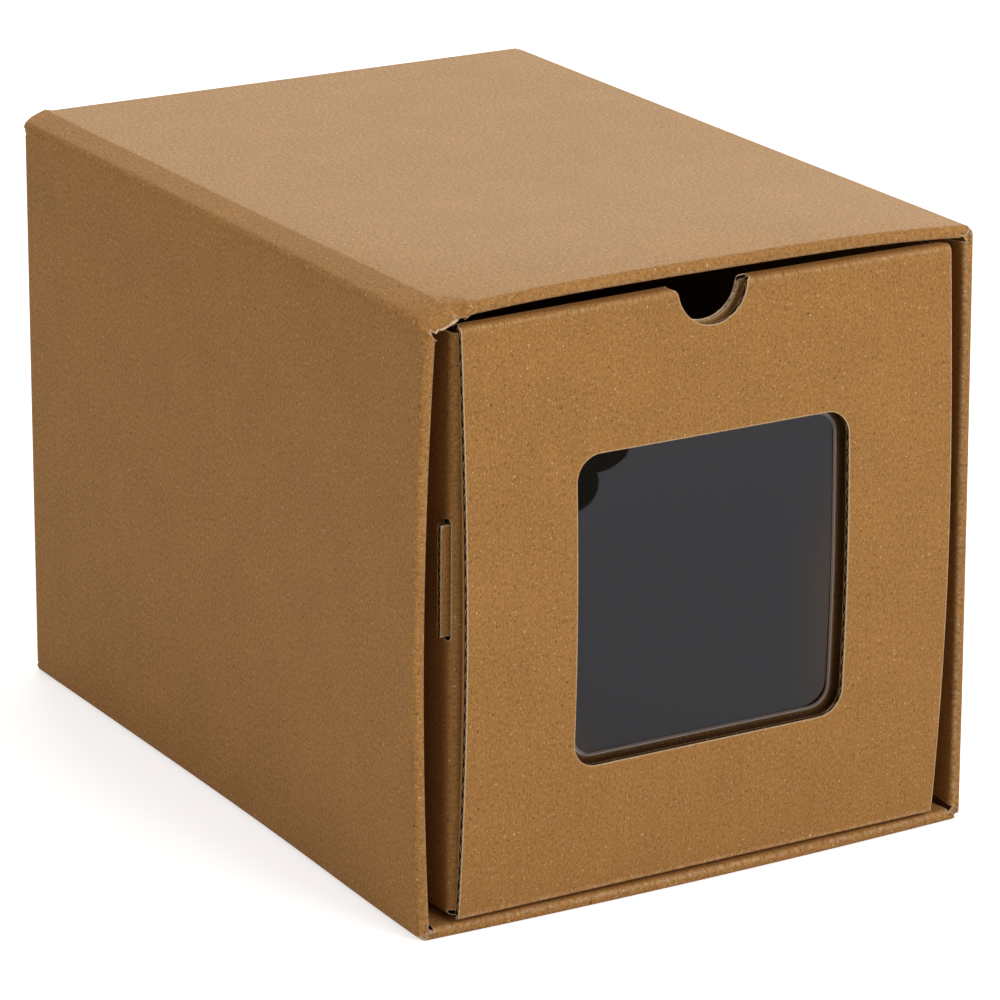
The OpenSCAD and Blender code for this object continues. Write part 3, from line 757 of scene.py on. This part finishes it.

# The film's colour is painted brown at the right and the lower left: a painted glow of the lit board inside faintly
# showing through
painted_glow_ovals = []
for middle, radius in (((0.075, 0, 0.105), (0.036, 1, 0.075)), ((-0.068, 0, 0.058), (0.026, 1, 0.026))):
    glow = put(film_tree, "Mapping", values={"Location": [-m / r for m, r in zip(middle, radius)],
                                             "Scale": (1 / radius[0], 0, 1 / radius[2])})
    reach = put(film_tree, "VectorMath", operation="LENGTH")
    film_tree.links.new(spot.outputs["Object"], glow.inputs["Vector"])
    film_tree.links.new(glow.outputs[0], reach.inputs[0])
    painted_glow_ovals.append(put(film_tree, "MapRange", values={"From Min": 0.25, "From Max": 1.0, "To Min": 1.0, "To Max": 0.0}))
    film_tree.links.new(reach.outputs["Value"], painted_glow_ovals[-1].inputs["Value"])
both = put(film_tree, "Math", operation="MAXIMUM")
film_tree.links.new(painted_glow_ovals[0].outputs[0], both.inputs[0])
film_tree.links.new(painted_glow_ovals[1].outputs[0], both.inputs[1])
base_with_painted_glow = put(film_tree, "Mix", data_type="RGBA", values={6: (0.003, 0.001, 0.007, 1), 7: (0.045, 0.017, 0.002, 1)})
film_tree.links.new(both.outputs[0], base_with_painted_glow.inputs["Factor"])

# Where it is pressed on the rim of the inner layer's window the film shows a pale line
rim = ramp(film_tree, [(0.405, 0.0), (0.418, 0.55), (0.432, 0.30), (0.450, 0.35), (0.462, 1.0), (0.480, 0.6),
                       (0.500, 0.0)])
film_tree.links.new(wide.outputs[0], rim.inputs[0])
pressed = put(film_tree, "Mix", data_type="RGBA", values={7: (0.40, 0.33, 0.28, 1)})
film_tree.links.new(rim.outputs[0], pressed.inputs["Factor"])
film_tree.links.new(base_with_painted_glow.outputs[2], pressed.inputs[6])
# Painted dark reflection: the colour goes near black in the two ovals
painted_dark_reflection = put(film_tree, "Mix", data_type="RGBA", values={7: (0.0100, 0.0085, 0.0070, 1)})
film_tree.links.new(patch.outputs[0], painted_dark_reflection.inputs["Factor"])
film_tree.links.new(pressed.outputs[2], painted_dark_reflection.inputs[6])
film_tree.links.new(painted_dark_reflection.outputs[2], film_shader.inputs["Base Color"])
film_tree.links.new(film_alpha_painted_shade.outputs[0], film_shader.inputs["Alpha"])
film_mesh.materials.append(film)
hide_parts("window_film")
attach(film_piece, "drawer")

# ---------------------------------------------------------------------------------------------
# Studio: a plain pale floor, a white surround for the camera and for gloss, soft lamps from
# above, the front, the left and behind, and the camera of the photograph.
# ---------------------------------------------------------------------------------------------
scene = bpy.context.scene
scene.view_settings.view_transform = "Standard"

world = bpy.data.worlds.new("studio")
world.use_nodes = True
scene.world = world
sky = world.node_tree
background = sky.nodes["Background"]
rays = put(sky, "LightPath")
seen = put(sky, "Math", operation="MAXIMUM")
seen_too = put(sky, "Math", operation="MAXIMUM")
level = put(sky, "MapRange", values={"To Min": 0.13, "To Max": 1.0})
sky.links.new(rays.outputs["Is Camera Ray"], seen.inputs[0])
sky.links.new(rays.outputs["Is Glossy Ray"], seen.inputs[1])
sky.links.new(seen.outputs[0], seen_too.inputs[0])
sky.links.new(rays.outputs["Is Transmission Ray"], seen_too.inputs[1])
sky.links.new(seen_too.outputs[0], level.inputs["Value"])
sky.links.new(level.outputs["Result"], background.inputs["Strength"])
background.inputs["Color"].default_value = (1, 1, 1, 1)

floor_mesh = bpy.data.meshes.new("floor")
floor_mesh.from_pydata([(-9, -9, 0), (9, -9, 0), (9, 9, 0), (-9, 9, 0)], [], [(0, 1, 2, 3)])
floor = bpy.data.objects.new("floor", floor_mesh)
scene.collection.objects.link(floor)
floor_finish = bpy.data.materials.new("floor_white")
floor_finish.use_nodes = True
tree = floor_finish.node_tree
tree.nodes.remove(tree.nodes["Principled BSDF"])
matt = put(tree, "BsdfDiffuse", values={"Color": (0.88, 0.88, 0.88, 1)})
glow = put(tree, "Emission", values={"Color": (1, 1, 1, 1)})
both = put(tree, "AddShader")
rays = put(tree, "LightPath")
seen = put(tree, "Math", operation="MAXIMUM")
seen_too = put(tree, "Math", operation="MAXIMUM")
lift = put(tree, "Math", operation="MULTIPLY", values={1: 0.62})
weaker = put(tree, "Math", operation="MULTIPLY", values={1: 0.33})
tree.links.new(rays.outputs["Is Glossy Ray"], seen.inputs[0])
tree.links.new(rays.outputs["Is Transmission Ray"], seen.inputs[1])
tree.links.new(seen.outputs[0], weaker.inputs[0])
tree.links.new(rays.outputs["Is Camera Ray"], seen_too.inputs[0])
tree.links.new(weaker.outputs[0], seen_too.inputs[1])
tree.links.new(seen_too.outputs[0], lift.inputs[0])
tree.links.new(lift.outputs[0], glow.inputs["Strength"])
tree.links.new(matt.outputs[0], both.inputs[0])
tree.links.new(glow.outputs[0], both.inputs[1])
tree.links.new(both.outputs[0], tree.nodes["Material Output"].inputs["Surface"])
floor_mesh.materials.append(floor_finish)


def softbox(name, place, aim, size, power, colour=(1, 1, 1)):
    """A square area lamp at a place, turned to face the point that it is aimed at."""
    lamp = bpy.data.lights.new(name, "AREA")
    lamp.shape, lamp.size, lamp.energy, lamp.color = "SQUARE", size, power, colour
    holder = bpy.data.objects.new(name, lamp)
    back = np.array(place, float) - np.array(aim, float)
    back /= np.linalg.norm(back)
    side = np.cross((0, 0, 1), back)
    side /= np.linalg.norm(side)
    turn = Matrix(np.stack([side, np.cross(back, side), back], 1)).to_4x4()
    holder.matrix_world = Matrix.Translation(place) @ turn
    scene.collection.objects.link(holder)
    return holder


softbox("top_lamp", (0.3, 0.2, 2.4), (0, 0, 0.2), 1.6, 17)
softbox("front_lamp", (0.75, -2.25, 1.55), (0, -0.1, 0.12), 1.4, 43)
softbox("left_lamp", (-2.35, -0.85, 1.0), (0, 0, 0.12), 1.4, 18.5)
softbox("rear_lamp", (1.47, 2.43, 1.2), (0, 0, 0.25), 2.2, 40, (1.0, 0.99, 0.80))

camera = bpy.data.cameras.new("camera")
camera.sensor_width, camera.lens = 36.0, 182.9
camera.clip_start, camera.clip_end = 0.1, 50
eye = bpy.data.objects.new("camera", camera)
right, down = (0.85787, -0.51382, 0.00712), (-0.15805, -0.27703, -0.94777)
forward = (0.48896, 0.81194, -0.31886)
turn = Matrix(np.stack([right, -np.array(down), -np.array(forward)], 1)).to_4x4()
eye.matrix_world = Matrix.Translation((-1.0384, -1.7424, 0.7919)) @ turn
scene.collection.objects.link(eye)
scene.camera = eye
